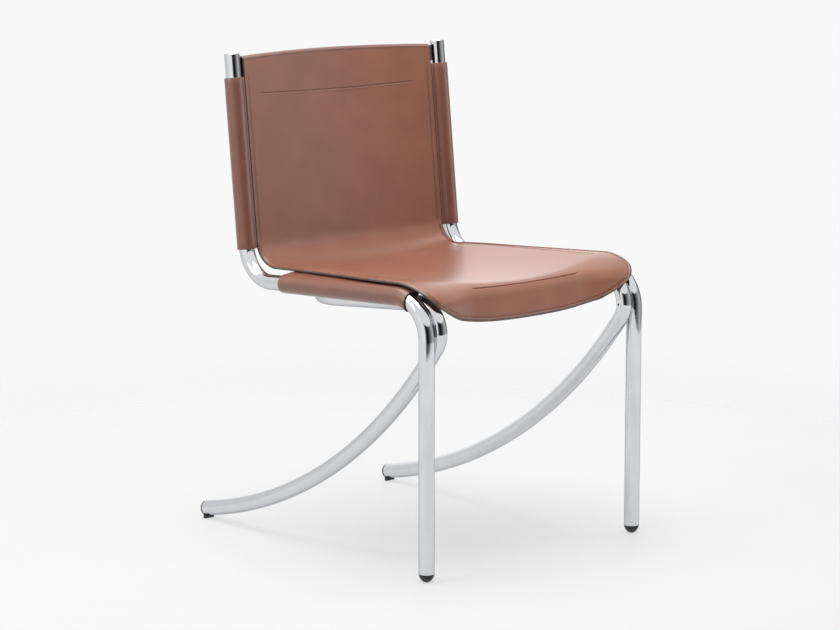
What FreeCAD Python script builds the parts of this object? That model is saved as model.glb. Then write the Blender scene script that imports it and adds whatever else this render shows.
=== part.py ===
import FreeCAD, Part
import math
import os
import Sketcher

from FreeCAD import Placement, Rotation, Vector

# Sling chair in saddle leather on a bent chrome tube frame, in millimetres.
# The chair stands on z = 0 and looks towards -Y. The working frame has its
# y = 0 on the axis of the front legs; `chair_place` then moves every piece
# back, so that the origin is on the floor under the middle of the chair.

SIZES = {
    # Tube frame
    "tube_diameter": 25.0,
    "tube_wall": 2.0,
    "leg_spacing": 463.4,
    "post_spacing": 454.8,
    "rail_height": 438.0,
    "rail_fall_degrees": 2.36,
    "corner_reach": 421.0,
    "post_rake_degrees": 5.97,
    "post_height": 780.0,
    "front_bend_radius": 62.0,
    "rear_bend_radius": 58.0,
    # Rear legs and the run under the seat, one tube
    "loop_gap": 0.3,
    "loop_bend_radius": 42.0,
    "loop_bend_drop": 55.5,
    "loop_bend_lead": 1.0,
    "leg_sweep_radius": 880.0,
    "foot_reach": 560.0,
    "foot_axis_height": 15.8,
    "run_fall_degrees": 4.2,
    "cross_reach": 328.0,
    "loop_corner_radius": 100.0,
    "vent_hole_diameter": 4.0,
    "weld_width": 7.0,
    "weld_length": 26.0,
    # Flat bar behind the head of the back, and the rod under the seat's nose
    "bar_height": 26.0,
    "bar_thickness": 5.0,
    "bar_drop": 4.5,
    "rod_diameter": 12.0,
    "rod_bend_degrees": 70.0,
    # Plugs and feet
    "shank_clearance": 0.2,
    "shank_length": 22.0,
    "cap_height": 3.0,
    "cap_chamfer": 1.0,
    "foot_height": 13.0,
    "foot_rim_height": 1.0,
    "foot_flat_diameter": 8.0,
    "plug_rim": 3.0,
    "heel_length": 7.0,
    "heel_width": 20.0,
    "heel_corner_radius": 2.5,
    "plug_length": 17.0,
    # Leather
    "layer_thickness": 2.3,
    "layer_gap": 0.1,
    "seat_rise": 22.6,
    "seat_sag": 18.0,
    "back_set_in": 2.4,
    "back_bow": 17.0,
    "rear_corner_radius": 41.0,
    "edge_nose_length": 70.0,
    "edge_nose_drop": 36.0,
    "edge_nose_reach": 8.0,
    "middle_nose_length": 20.0,
    "middle_nose_drop": 22.0,
    "middle_nose_setback": 7.0,
    "flap_rise": 0.5,
    "flap_corner_rise": 12.0,
    "flap_corner_start": 150.0,
    "flap_corner_height": 57.5,
    "trim_margin": 0.5,
    "panel_rise": 2.0,
    "panel_crown": 3.3,
    "seat_front_width": 470.0,
    "back_width": 412.0,
    "stitch_row_inset": 3.5,
    "back_seam_drop": 70.0,
    "front_seam_reach": 16.0,
    "pocket_gap": 0.5,
    # Leather sleeves round the tubes
    "sleeve_gap": 0.3,
    "sleeve_wall": 2.0,
    "back_sleeve_rise": 32.0,
    "back_sleeve_drop": 35.5,
    "seat_sleeve_rear": 332.0,
    "seat_sleeve_bend_degrees": 24.0,
    "flange_inboard": 26.0,
    "flange_outboard": 5.0,
    "seam_gap": 0.3,
}

# Where the half width of the seat stands between its narrow rear and its
# wide front, at even steps from the front nose to the rear corner.
SEAT_WIDTH_SHARES = (1.0, 0.8, 0.54, 0.35, 0.2)

# Where the flap's corner curve passes between its lower and its outer end
FLAP_CORNER_SHARES = (0.73, 0.48)

# How full the dome of a front foot is, between 0.5 for a cone and 1
FOOT_BULGE = 0.62

# Flat facets along each bend of the leather
BEND_STEPS = 6

SIDES = {"left": -1, "right": 1}

doc = FreeCAD.newDocument("chair")
sheet = doc.addObject("Spreadsheet::Sheet", "Sizes")
for row, (name, value) in enumerate(SIZES.items(), start=1):
    sheet.set("A%d" % row, name)
    sheet.set("B%d" % row, str(value))
    sheet.setAlias("B%d" % row, name)
doc.recompute()


def size(name):
    return float(sheet.get(name))


def radians(name):
    return math.radians(size(name))


# Values that several pieces share

THICK = size("layer_thickness")
SECOND = THICK + size("layer_gap")
BAR_FRONT = THICK + size("pocket_gap")
BAR_BACK = BAR_FRONT + size("bar_thickness")
HEM_FRONT = BAR_BACK + size("pocket_gap")
TUBE_R = size("tube_diameter") / 2
BORE_R = TUBE_R - size("tube_wall")
LEG_X = size("leg_spacing") / 2
POST_X = size("post_spacing") / 2
LOOP_X = LEG_X - size("tube_diameter") - size("loop_gap")
TOE_IN = math.asin((LEG_X - POST_X) / size("corner_reach"))
FALL = radians("rail_fall_degrees")
RAKE = radians("post_rake_degrees")
FOOT_TOP = size("foot_height")
LOOP_BEND_Z = size("rail_height") - size("loop_bend_drop")
FLAP_FOOT = LOOP_BEND_Z + size("flap_rise")
PANEL_TOP = size("post_height") + size("panel_rise")
HALF_BACK = size("back_width") / 2
STITCH_ROW = HALF_BACK - size("stitch_row_inset")


def point(y, z, x=0.0):
    return Vector(x, y, z)


def heading(angle):
    """Unit vector in the side plane, its angle measured up from +Y."""
    return Vector(0, math.cos(angle), math.sin(angle))


RAIL = heading(-FALL)
POST = heading(math.pi / 2 - RAKE)
POST_BACK = heading(-RAKE)
RAIL_UP = heading(math.pi / 2 - FALL)
CORNER = point(size("corner_reach"), size("rail_height") - size("corner_reach") * math.tan(FALL))


def post_point(z):
    """Point of the post's axis at height z, in the side plane."""
    return CORNER + POST * ((z - CORNER.z) / POST.z)


def post_spacing_at(z):
    """Distance between the posts' axes, which the toe-in narrows upwards."""
    return 2 * (LEG_X - post_point(z).y * math.sin(TOE_IN))


# The rear foot gives the depth of the whole chair

LOOP_BEND = point(size("loop_bend_radius") - size("loop_bend_lead"), LOOP_BEND_Z)
FOOT = point(size("foot_reach"), size("foot_axis_height"))


def sweep_centre(bend, foot):
    """Centre of the rear leg's long curve, which ends inside the loop's bend."""
    from_bend = size("leg_sweep_radius") - size("loop_bend_radius")
    from_foot = size("leg_sweep_radius")
    apart = (foot - bend).Length
    along = (from_bend ** 2 - from_foot ** 2 + apart ** 2) / (2 * apart)
    aside = math.sqrt(from_bend ** 2 - along ** 2)
    line = (foot - bend).normalize()
    return bend + line * along + Vector(0, -line.z, line.y) * aside


SWEEP_CENTRE = sweep_centre(LOOP_BEND, FOOT)
FOOT_UP = (SWEEP_CENTRE - FOOT).normalize()
FOOT_OUT = Vector(0, FOOT_UP.z, -FOOT_UP.y)
REAR_MOST = FOOT.y + FOOT_OUT.y * size("plug_rim") + FOOT_UP.y * TUBE_R
CHAIR_SHIFT = (TUBE_R - REAR_MOST) / 2


def chair_place():
    return Placement(Vector(0, CHAIR_SHIFT, 0), Rotation())


def side_place(sign):
    """Frame of one side: its own plane, toed in a little towards the rear."""
    turn = Rotation(Vector(0, 0, 1), math.degrees(sign * TOE_IN))
    return Placement(Vector(sign * LEG_X, CHAIR_SHIFT, 0), turn)


def post_place(sign, z):
    """Frame on the post's axis at height z, its Z along the post."""
    lean = Rotation(Vector(1, 0, 0), -size("post_rake_degrees"))
    return side_place(sign).multiply(Placement(post_point(z), lean))


def feature(label, shape, place):
    piece = doc.addObject("Part::Feature", label)
    piece.Label = label
    piece.Shape = shape
    piece.Placement = place
    return piece


def origin_plane(body, role):
    return [f for f in body.Origin.OriginFeatures if f.Role == role][0]


def body_sketch(body, name, role):
    sketch = body.newObject("Sketcher::SketchObject", name)
    sketch.AttachmentSupport = [(origin_plane(body, role), "")]
    sketch.MapMode = "FlatFace"
    return sketch


def add_circle(sketch, radius, formula):
    """Circle on the sketch's origin, its diameter bound to the sheet."""
    circle = sketch.addGeometry(Part.Circle(Vector(0, 0, 0), Vector(0, 0, 1), radius), False)
    sketch.addConstraint(Sketcher.Constraint("Coincident", circle, 3, -1, 1))
    rule = sketch.addConstraint(Sketcher.Constraint("Diameter", circle, 2 * radius))
    sketch.setExpression("Constraints[%d]" % rule, formula)
    return circle


# Side tubes: front leg, seat rail and back post, bent from one tube


def flat(vector):
    """A side-plane point as a sketch point on the body's YZ plane."""
    return Vector(vector.y, vector.z, 0)


def bend_ends(corner, before, after, radius):
    """Tangent points and centre of a bend between two straight runs."""
    turn = before.getAngle(after)
    reach = radius * math.tan(turn / 2)
    start = corner - before * reach
    end = corner + after * reach
    inward = (after - before).normalize()
    centre = corner + inward * (radius / math.cos(turn / 2))
    return start, end, centre


def side_tube(side, sign):
    up = heading(math.pi / 2)
    leg_top = point(0, size("rail_height"))
    front = bend_ends(leg_top, up, RAIL, size("front_bend_radius"))
    rear = bend_ends(CORNER, RAIL, POST, size("rear_bend_radius"))
    top = post_point(size("post_height"))

    body = doc.addObject("PartDesign::Body", "side_tube_" + side)
    body.Label = "side_tube_" + side
    path = body_sketch(body, "side_path_" + side, "YZ_Plane")

    def line(a, b):
        return path.addGeometry(Part.LineSegment(flat(a), flat(b)), False)

    def arc(centre, radius, first, last):
        circle = Part.Circle(flat(centre), Vector(0, 0, 1), radius)
        return path.addGeometry(Part.ArcOfCircle(circle, first, last), False)

    leg = line(point(0, FOOT_TOP), front[0])
    front_bend = arc(front[2], size("front_bend_radius"), math.pi / 2 - FALL, math.pi)
    rail = line(front[1], rear[0])
    rear_bend = arc(rear[2], size("rear_bend_radius"), -math.pi / 2 - FALL, -RAKE)
    post = line(rear[1], top)
    foot_mark = path.addGeometry(Part.Point(flat(leg_top)), True)
    corner_mark = path.addGeometry(Part.Point(flat(CORNER)), True)

    def rule(*terms):
        return path.addConstraint(Sketcher.Constraint(*terms))

    rule("Tangent", leg, 2, front_bend, 2)
    rule("Tangent", front_bend, 1, rail, 1)
    rule("Tangent", rail, 2, rear_bend, 1)
    rule("Tangent", rear_bend, 2, post, 1)
    rule("Vertical", leg)
    rule("PointOnObject", leg, 1, -2)
    rule("PointOnObject", foot_mark, 1, -2)
    rule("PointOnObject", foot_mark, 1, rail)
    rule("PointOnObject", corner_mark, 1, rail)
    rule("PointOnObject", corner_mark, 1, post)
    bound = {
        rule("DistanceY", -1, 1, leg, 1, FOOT_TOP): "Sizes.foot_height",
        rule("DistanceY", -1, 1, foot_mark, 1, leg_top.z): "Sizes.rail_height",
        rule("DistanceX", -1, 1, corner_mark, 1, CORNER.y): "Sizes.corner_reach",
        rule("Radius", front_bend, size("front_bend_radius")): "Sizes.front_bend_radius",
        rule("Radius", rear_bend, size("rear_bend_radius")): "Sizes.rear_bend_radius",
        rule("Angle", rail, -FALL): "-1 deg * Sizes.rail_fall_degrees",
        rule("Angle", post, math.pi / 2 - RAKE): "90 deg - 1 deg * Sizes.post_rake_degrees",
        rule("DistanceY", -1, 1, post, 2, top.z): "Sizes.post_height",
    }
    for index, formula in bound.items():
        path.setExpression("Constraints[%d]" % index, formula)

    section = body_sketch(body, "side_section_" + side, "XY_Plane")
    section.AttachmentOffset = Placement(Vector(0, 0, FOOT_TOP), Rotation())
    section.setExpression("AttachmentOffset.Base.z", "Sizes.foot_height")
    add_circle(section, TUBE_R, "Sizes.tube_diameter")
    add_circle(section, BORE_R, "Sizes.tube_diameter - 2 * Sizes.tube_wall")
    pipe = body.newObject("PartDesign::AdditivePipe", "side_pipe_" + side)
    pipe.Profile = section
    pipe.Spine = path
    body.Placement = side_place(sign)
    return body


# Rear legs and the run under the seat: one tube bent into a loop


def arc_through(start, middle, end):
    return Part.Arc(start, middle, end).toShape()


def arc_middle(centre, start, end):
    """Middle of the shorter arc between two points round a centre."""
    radius = (start - centre).Length
    return centre + ((start - centre) + (end - centre)).normalize() * radius


def mirrored(vector):
    return Vector(-vector.x, vector.y, vector.z)


def loop_points():
    """Right half of the loop's axis, from the foot to the middle of the seat."""
    radius = size("loop_bend_radius")
    run_fall = radians("run_fall_degrees")
    aside = Vector(LOOP_X, 0, 0)
    leg_end = LOOP_BEND + (LOOP_BEND - SWEEP_CENTRE).normalize() * radius
    vertical = LOOP_BEND - Vector(0, radius, 0)
    run_start = LOOP_BEND + heading(math.pi / 2 - run_fall) * radius
    run = heading(-run_fall)
    elbow = run_start + run * ((size("cross_reach") - run_start.y) / run.y)
    corner_radius = size("loop_corner_radius")
    run_end = elbow - run * corner_radius
    cross_start = elbow - Vector(corner_radius, 0, 0)
    corner_centre = run_end - Vector(corner_radius, 0, 0)
    return {
        "foot": FOOT + aside,
        "leg_middle": arc_middle(SWEEP_CENTRE, FOOT, leg_end) + aside,
        "leg_end": leg_end + aside,
        "bend_middle": vertical + aside,
        "run_start": run_start + aside,
        "run_end": run_end + aside,
        "corner_middle": arc_middle(corner_centre, run_end, cross_start) + aside,
        "cross_start": cross_start + aside,
    }


def loop_wire():
    right = loop_points()
    left = {name: mirrored(place) for name, place in right.items()}

    def half(p):
        return [
            arc_through(p["foot"], p["leg_middle"], p["leg_end"]),
            arc_through(p["leg_end"], p["bend_middle"], p["run_start"]),
            Part.makeLine(p["run_start"], p["run_end"]),
            arc_through(p["run_end"], p["corner_middle"], p["cross_start"]),
        ]

    across = [Part.makeLine(right["cross_start"], left["cross_start"])]
    return Part.Wire(half(right) + across + half(left)[::-1])


def pipe_solid(path, start, direction, radius):
    ring = Part.Wire([Part.makeCircle(radius, start, direction)])
    return path.makePipeShell([ring], True, False)


def loop_solid(radius):
    start = FOOT + Vector(LOOP_X, 0, 0)
    return pipe_solid(loop_wire(), start, FOOT_OUT, radius)


def rear_leg_loop():
    tube = loop_solid(TUBE_R).cut(loop_solid(BORE_R))
    # A small vent lets the plating bath drain, on the inner side of each bend
    for sign in SIDES.values():
        inner = Vector(sign * (LOOP_X - BORE_R), 0, LOOP_BEND_Z)
        depth = size("tube_wall") * 2
        start = inner + Vector(sign * depth / 4, 0, 0)
        drill = Part.makeCylinder(
            size("vent_hole_diameter") / 2, depth, start, Vector(-sign, 0, 0))
        tube = tube.cut(drill)
    return feature("rear_leg_loop", tube, chair_place())


def front_weld(side, sign):
    """Bead in the valley where the loop's bend lies against the side tube."""
    width = size("weld_width")
    length = size("weld_length")
    middle = sign * (LEG_X + LOOP_X) / 2
    corner = Vector(middle - width / 2, 0, LOOP_BEND_Z - length / 2)
    bead = Part.makeBox(width, width, length, corner)
    leg = Part.makeCylinder(TUBE_R, size("rail_height"), Vector(sign * LEG_X, 0, 0))
    bead = bead.cut(leg).cut(side_tube_solid(sign)).cut(loop_solid(TUBE_R))
    return feature("front_weld_" + side, bead, chair_place())


def side_tube_solid(sign):
    """Outer skin of a side tube as a solid, in the working frame."""
    up = heading(math.pi / 2)
    radius = size("front_bend_radius")
    start, end, centre = bend_ends(point(0, size("rail_height")), up, RAIL, radius)
    path = Part.Wire([
        Part.makeLine(point(0, FOOT_TOP), start),
        arc_through(start, arc_middle(centre, start, end), end),
        Part.makeLine(end, end + RAIL * radius),
    ])
    solid = pipe_solid(path, point(0, FOOT_TOP), up, TUBE_R)
    place = side_place(sign)
    place.Base.y = 0
    solid.Placement = place
    return solid


def back_top_bar():
    """Bowed flat bar between the posts, its ends shaped to the round tubes."""
    body = doc.addObject("PartDesign::Body", "back_top_bar")
    body.Label = "back_top_bar"
    front = size("back_set_in") + BAR_FRONT
    thick = size("bar_thickness")
    # The leather is bowed between its stitch rows and flat from there to its edges
    half_chord = (HALF_BACK + STITCH_ROW) / 2
    bow = size("back_bow")
    bow_radius = (half_chord ** 2 + bow ** 2) / (2 * bow)
    centre_y = front + bow - bow_radius
    post_x = post_spacing_at(size("post_height")) / 2

    def ends(radius):
        y = centre_y + math.sqrt(radius ** 2 - post_x ** 2)
        return Vector(-post_x, y, 0), Vector(post_x, y, 0)

    sketch = body_sketch(body, "bar_plan", "XY_Plane")
    near, far = bow_radius, bow_radius + thick
    a, b = ends(near)
    c, d = ends(far)
    sketch.addGeometry(Part.Arc(a, Vector(0, centre_y + near, 0), b), False)
    sketch.addGeometry(Part.LineSegment(b, d), False)
    sketch.addGeometry(Part.Arc(d, Vector(0, centre_y + far, 0), c), False)
    sketch.addGeometry(Part.LineSegment(c, a), False)
    pad = body.newObject("PartDesign::Pad", "bar_pad")
    pad.Profile = sketch
    pad.setExpression("Length", "Sizes.bar_height")
    posts = body_sketch(body, "bar_posts", "XY_Plane")
    for x in (-post_x, post_x):
        circle = Part.Circle(Vector(x, 0, 0), Vector(0, 0, 1), TUBE_R)
        ring = posts.addGeometry(circle, False)
        rule = posts.addConstraint(Sketcher.Constraint("Diameter", ring, 2 * TUBE_R))
        posts.setExpression("Constraints[%d]" % rule, "Sizes.tube_diameter")
    pocket = body.newObject("PartDesign::Pocket", "bar_ends")
    pocket.Profile = posts
    pocket.Reversed = True
    pocket.setExpression("Length", "2 * Sizes.bar_height")
    low = post_point(size("post_height")) - POST * (size("bar_drop") + size("bar_height"))
    lean = Rotation(Vector(1, 0, 0), -size("post_rake_degrees"))
    body.Placement = Placement(low + Vector(0, CHAIR_SHIFT, 0), lean)
    return body


def front_rod():
    """Straight rod between the loop's bends, hidden behind the flap."""
    angle = math.pi - radians("rod_bend_degrees")
    spot = LOOP_BEND + heading(angle) * size("loop_bend_radius")
    start = spot - Vector(LOOP_X, 0, 0)
    rod = Part.makeCylinder(size("rod_diameter") / 2, 2 * LOOP_X, start, Vector(1, 0, 0))
    return feature("front_rod", rod.cut(loop_solid(TUBE_R)), chair_place())


# Plugs and feet


def revolved(body, name, points, closed_by_arc=None):
    """Revolve a half outline of (radius, height) points round the body's Z."""
    sketch = body_sketch(body, name, "XZ_Plane")
    last = len(points) - 1
    for i, start in enumerate(points):
        end = points[0] if i == last else points[i + 1]
        a = Vector(start[0], start[1], 0)
        b = Vector(end[0], end[1], 0)
        if closed_by_arc is not None and i == closed_by_arc[0]:
            via = Vector(closed_by_arc[1][0], closed_by_arc[1][1], 0)
            sketch.addGeometry(Part.Arc(a, via, b), False)
        else:
            sketch.addGeometry(Part.LineSegment(a, b), False)
    turn = body.newObject("PartDesign::Revolution", name + "_turn")
    turn.Profile = sketch
    turn.ReferenceAxis = (sketch, ["V_Axis"])
    turn.Angle = 360
    return turn


def post_cap(side, sign):
    """Chromed plug that closes the top of a post."""
    body = doc.addObject("PartDesign::Body", "post_cap_" + side)
    body.Label = "post_cap_" + side
    high = size("cap_height")
    edge = size("cap_chamfer")
    shank = BORE_R - size("shank_clearance")
    deep = -size("shank_length")
    revolved(body, "cap_outline_" + side, [
        (0, deep), (shank, deep), (shank, 0), (TUBE_R, 0),
        (TUBE_R, high - edge), (TUBE_R - edge, high), (0, high)])
    body.Placement = post_place(sign, size("post_height"))
    return body


def front_foot(side, sign):
    """Domed glide with a shank up the bore of the front leg."""
    body = doc.addObject("PartDesign::Body", "front_foot_" + side)
    body.Label = "front_foot_" + side
    rim = FOOT_TOP - size("foot_rim_height")
    flat_r = size("foot_flat_diameter") / 2
    shank = BORE_R - size("shank_clearance")
    top = FOOT_TOP + size("shank_length")
    via = (flat_r + (TUBE_R - flat_r) * FOOT_BULGE, rim - rim * FOOT_BULGE)
    revolved(body, "foot_outline_" + side, [
        (0, 0), (flat_r, 0), (TUBE_R, rim), (TUBE_R, FOOT_TOP),
        (shank, FOOT_TOP), (shank, top), (0, top)], closed_by_arc=(1, via))
    body.Placement = side_place(sign)
    return body


def rear_foot(side, sign):
    """End plug of a rear leg, moulded with the heel that the leg stands on."""
    rim = size("plug_rim")
    centre = FOOT + Vector(sign * LOOP_X, 0, 0)
    disc = Part.makeCylinder(TUBE_R, rim, centre, FOOT_OUT)
    width = size("heel_width")
    length = size("heel_length")
    shank_r = BORE_R - size("shank_clearance")
    shank = Part.makeCylinder(shank_r, size("plug_length"), centre, -FOOT_OUT)
    # The tube curves up so gently that a straight bore over the heel clears it
    behind = centre.y + FOOT_OUT.y * rim - FOOT_UP.y * TUBE_R
    corner = Vector(centre.x - width / 2, behind - length, 0)
    heel = Part.makeBox(width, length, centre.z / 2, corner)
    upright = [e for e in heel.Edges if abs(e.tangentAt(0).z) > abs(e.tangentAt(0).y + e.tangentAt(0).x)]
    heel = heel.makeFillet(size("heel_corner_radius"), upright)
    bore = Part.makeCylinder(TUBE_R, 2 * length, centre, -FOOT_OUT)
    foot = disc.fuse(heel.cut(bore)).fuse(shank)
    return feature("rear_foot_" + side, foot, chair_place())


# Leather: profiles in the side plane, sections across, lofts along


def normal_of(direction):
    """Unit normal on the side away from the sitter."""
    return Vector(0, direction.z, -direction.y)


def nose_point(start_y, seat_z, length, drop, angle):
    """Quarter ellipse from the upright flap to the level seat."""
    y = start_y + length * (1 - math.cos(angle))
    z = seat_z - drop * (1 - math.sin(angle))
    tangent = Vector(0, length * math.sin(angle), drop * math.cos(angle)).normalize()
    return Vector(0, y, z), normal_of(tangent)


def profile(edge_to_middle, nose_y, nose_length, nose_drop, corner_radius, back_offset):
    """Stations along one line of the sheet, each a point and its normal.

    edge_to_middle lowers the seat line from the edge's own line, and
    back_offset sets the back line behind the posts' axes.
    """
    seat_line = CORNER + RAIL_UP * (size("seat_rise") - edge_to_middle)
    back_line = CORNER + POST_BACK * back_offset

    # The seat line and the back line meet here
    gap = back_line - seat_line
    cross = RAIL.y * POST.z - RAIL.z * POST.y
    along = (gap.y * POST.z - gap.z * POST.y) / cross
    meet = seat_line + RAIL * along
    start, end, centre = bend_ends(meet, RAIL, POST, corner_radius)

    nose_end_y = nose_y + nose_length
    nose_end = meet + RAIL * ((nose_end_y - meet.y) / RAIL.y)
    stations = [(Vector(0, nose_y, FLAP_FOOT - THICK), Vector(0, 1, 0))]
    for i in range(BEND_STEPS + 1):
        angle = math.pi / 2 * i / BEND_STEPS
        stations.append(nose_point(nose_y, nose_end.z, nose_length, nose_drop, angle))
    steps = len(SEAT_WIDTH_SHARES)
    for i in range(1, steps):
        spot = nose_end + (start - nose_end) * (i / steps)
        stations.append((spot, normal_of(RAIL)))
    for i in range(BEND_STEPS + 1):
        turn = math.pi / 2 - RAKE + FALL
        out = heading(-math.pi / 2 - FALL + turn * i / BEND_STEPS)
        stations.append((centre + out * corner_radius, out))
    rise = (PANEL_TOP + THICK - CORNER.z) / POST.z
    top = back_line + POST * rise
    seam = top - POST * size("back_seam_drop")
    stations.append((end + (seam - end) * 0.5, POST_BACK))
    stations.append((seam, POST_BACK))
    stations.append((top, POST_BACK))
    return stations


EDGE = profile(
    0, -size("edge_nose_reach"), size("edge_nose_length"), size("edge_nose_drop"),
    size("rear_corner_radius"), size("back_set_in"))
MIDDLE = profile(
    size("seat_sag"), size("middle_nose_setback"), size("middle_nose_length"),
    size("middle_nose_drop"), size("rear_corner_radius") + size("seat_sag"),
    size("back_set_in") + size("back_bow"))
FLAP_STATIONS = BEND_STEPS + 2
SEAT_STATIONS = len(SEAT_WIDTH_SHARES) - 1
SEAM_STATION = len(EDGE) - 2


def half_widths():
    wide = size("seat_front_width") / 2
    seat = [HALF_BACK + (wide - HALF_BACK) * share for share in SEAT_WIDTH_SHARES[1:]]
    front = [wide] * FLAP_STATIONS
    rear = [HALF_BACK] * (len(EDGE) - FLAP_STATIONS - SEAT_STATIONS)
    return front + seat + rear


HALF_WIDTHS = half_widths()


def section(edge, middle, normals, half_width, near, far):
    """Closed wire across the sheet, from depth near to depth far."""
    edge_normal, middle_normal = normals

    def level(depth):
        rim = edge + edge_normal * depth
        mid = middle + middle_normal * depth
        return rim, mid

    def side(rim, sign, x):
        return Vector(sign * x, rim.y, rim.z)

    near_rim, near_mid = level(near)
    far_rim, far_mid = level(far)
    a, b = side(near_rim, -1, half_width), side(near_rim, -1, STITCH_ROW)
    c, d = side(near_rim, 1, STITCH_ROW), side(near_rim, 1, half_width)
    e, f = side(far_rim, 1, half_width), side(far_rim, 1, STITCH_ROW)
    g, i = side(far_rim, -1, STITCH_ROW), side(far_rim, -1, half_width)
    return Part.Wire([
        Part.makeLine(a, b), arc_through(b, near_mid, c), Part.makeLine(c, d),
        Part.makeLine(d, e), Part.makeLine(e, f), arc_through(f, far_mid, g),
        Part.makeLine(g, i), Part.makeLine(i, a)])


def layer(first, last, near, far):
    """Loft one layer of leather between two stations."""
    wires = []
    for i in range(first, last + 1):
        edge, edge_normal = EDGE[i]
        middle, middle_normal = MIDDLE[i]
        wires.append(section(
            edge, middle, (edge_normal, middle_normal), HALF_WIDTHS[i], near, far))
    return Part.makeLoft(wires, True, True)


def front_view_outline():
    """Block that leaves the flap's rounded corners and the crowned top edge."""
    side = size("seat_front_width") / 2 + size("trim_margin")
    corner_x = size("flap_corner_start")
    corner_z = LOOP_BEND_Z + size("flap_corner_rise")
    corner_top = corner_z + size("flap_corner_height")
    via_x = corner_x + (side - corner_x) * FLAP_CORNER_SHARES[0]
    via_z = corner_z + size("flap_corner_height") * FLAP_CORNER_SHARES[1]
    shoulder = PANEL_TOP - size("panel_crown")
    front = -size("tube_diameter") * 2
    depth = size("foot_reach") * 2

    def at(x, z):
        return Vector(x, front, z)

    edges = [
        arc_through(at(-corner_x, corner_z), at(0, FLAP_FOOT), at(corner_x, corner_z)),
        arc_through(at(corner_x, corner_z), at(via_x, via_z), at(side, corner_top)),
        Part.makeLine(at(side, corner_top), at(side, shoulder)),
        Part.makeLine(at(side, shoulder), at(HALF_BACK, shoulder)),
        arc_through(at(HALF_BACK, shoulder), at(0, PANEL_TOP), at(-HALF_BACK, shoulder)),
        Part.makeLine(at(-HALF_BACK, shoulder), at(-side, shoulder)),
        Part.makeLine(at(-side, shoulder), at(-side, corner_top)),
        arc_through(at(-side, corner_top), at(-via_x, via_z), at(-corner_x, corner_z)),
    ]
    return Part.Face(Part.Wire(edges)).extrude(Vector(0, depth, 0))


OUTLINE = front_view_outline()


def trimmed(solid):
    return solid.common(OUTLINE).Solids[0]


def leather_sheet():
    """Top layer: flap, seat and back in one piece of leather."""
    whole = layer(0, len(EDGE) - 1, 0, THICK)
    return feature("leather_sheet", trimmed(whole), chair_place())


def second_layers():
    """Under layer, parted at the front seam into the lining and the flap's hem."""
    whole = trimmed(layer(0, SEAM_STATION, SECOND, SECOND + THICK))
    reach = size("foot_reach")
    seam = size("front_seam_reach")
    ahead = Part.makeBox(2 * reach, reach, 2 * reach, Vector(-reach, seam - reach, 0))
    lap = Part.makeBox(
        2 * reach, reach, 2 * reach, Vector(-reach, seam + size("layer_gap") - reach, 0))
    feature("front_hem", whole.common(ahead).Solids[0], chair_place())
    feature("leather_lining", whole.cut(lap).Solids[0], chair_place())


def back_section(height, near, far):
    """Section of the back, where the post's axis stands at this height."""
    spot = post_point(height)
    edge = spot + POST_BACK * size("back_set_in")
    middle = edge + POST_BACK * size("back_bow")
    return section(edge, middle, (POST_BACK, POST_BACK), HALF_BACK, near, far)


def top_hem():
    """End of the sheet, folded back over the top bar and sewn down behind it."""
    top = PANEL_TOP + THICK
    seam = post_point(top) - POST * (size("back_seam_drop") - size("layer_gap"))
    bar_foot = post_point(size("post_height")) - POST * (
        size("bar_drop") + size("bar_height") + size("bar_thickness"))
    rear = Part.makeLoft([
        back_section(seam.z, SECOND, SECOND + THICK),
        back_section(bar_foot.z, HEM_FRONT, HEM_FRONT + THICK),
        back_section(top, HEM_FRONT, HEM_FRONT + THICK)], True, True)
    fold = Part.makeLoft([
        back_section(PANEL_TOP - size("panel_crown") - THICK, SECOND, HEM_FRONT + THICK),
        back_section(top, SECOND, HEM_FRONT + THICK)], True, True)
    return feature("top_hem", trimmed(rear.fuse(fold)), chair_place())


# Sleeves: leather tubes that the sheet's long edges are sewn to

SLEEVE_IN = TUBE_R + size("sleeve_gap")
SLEEVE_OUT = SLEEVE_IN + size("sleeve_wall")


def back_sleeve(side, sign):
    """Sleeve round a post, with a tongue that meets the back's edge."""
    body = doc.addObject("PartDesign::Body", "back_sleeve_" + side)
    body.Label = "back_sleeve_" + side
    bottom = size("rail_height") + size("back_sleeve_rise")
    top = size("post_height") - size("back_sleeve_drop")
    rise = "(Sizes.post_height - Sizes.back_sleeve_drop - Sizes.rail_height - Sizes.back_sleeve_rise)"
    length = rise + " / cos(1 deg * Sizes.post_rake_degrees)"
    ring = body_sketch(body, "sleeve_ring_" + side, "XY_Plane")
    add_circle(ring, SLEEVE_OUT,
               "Sizes.tube_diameter + 2 * (Sizes.sleeve_gap + Sizes.sleeve_wall)")
    pad = body.newObject("PartDesign::Pad", "sleeve_pad_" + side)
    pad.Profile = ring
    pad.setExpression("Length", length)

    # The tongue reaches from inside the wall to just short of the sheet
    reach = post_spacing_at(top) / 2 - HALF_BACK - size("seam_gap")
    x0, x1 = -sign * (SLEEVE_OUT - size("sleeve_wall") / 2), -sign * reach
    y0 = size("back_set_in")
    y1 = y0 + SECOND + THICK
    tongue = body_sketch(body, "sleeve_tongue_" + side, "XY_Plane")
    corners = [Vector(x0, y0, 0), Vector(x1, y0, 0), Vector(x1, y1, 0), Vector(x0, y1, 0)]
    for a, b in zip(corners, corners[1:] + corners[:1]):
        tongue.addGeometry(Part.LineSegment(a, b), False)
    leaf = body.newObject("PartDesign::Pad", "tongue_pad_" + side)
    leaf.Profile = tongue
    leaf.setExpression("Length", length)

    bore = body_sketch(body, "sleeve_bore_" + side, "XY_Plane")
    add_circle(bore, SLEEVE_IN, "Sizes.tube_diameter + 2 * Sizes.sleeve_gap")
    pocket = body.newObject("PartDesign::Pocket", "bore_pocket_" + side)
    pocket.Profile = bore
    pocket.Reversed = True
    pocket.setExpression("Length", length)
    body.Placement = post_place(sign, bottom)
    return body


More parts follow.
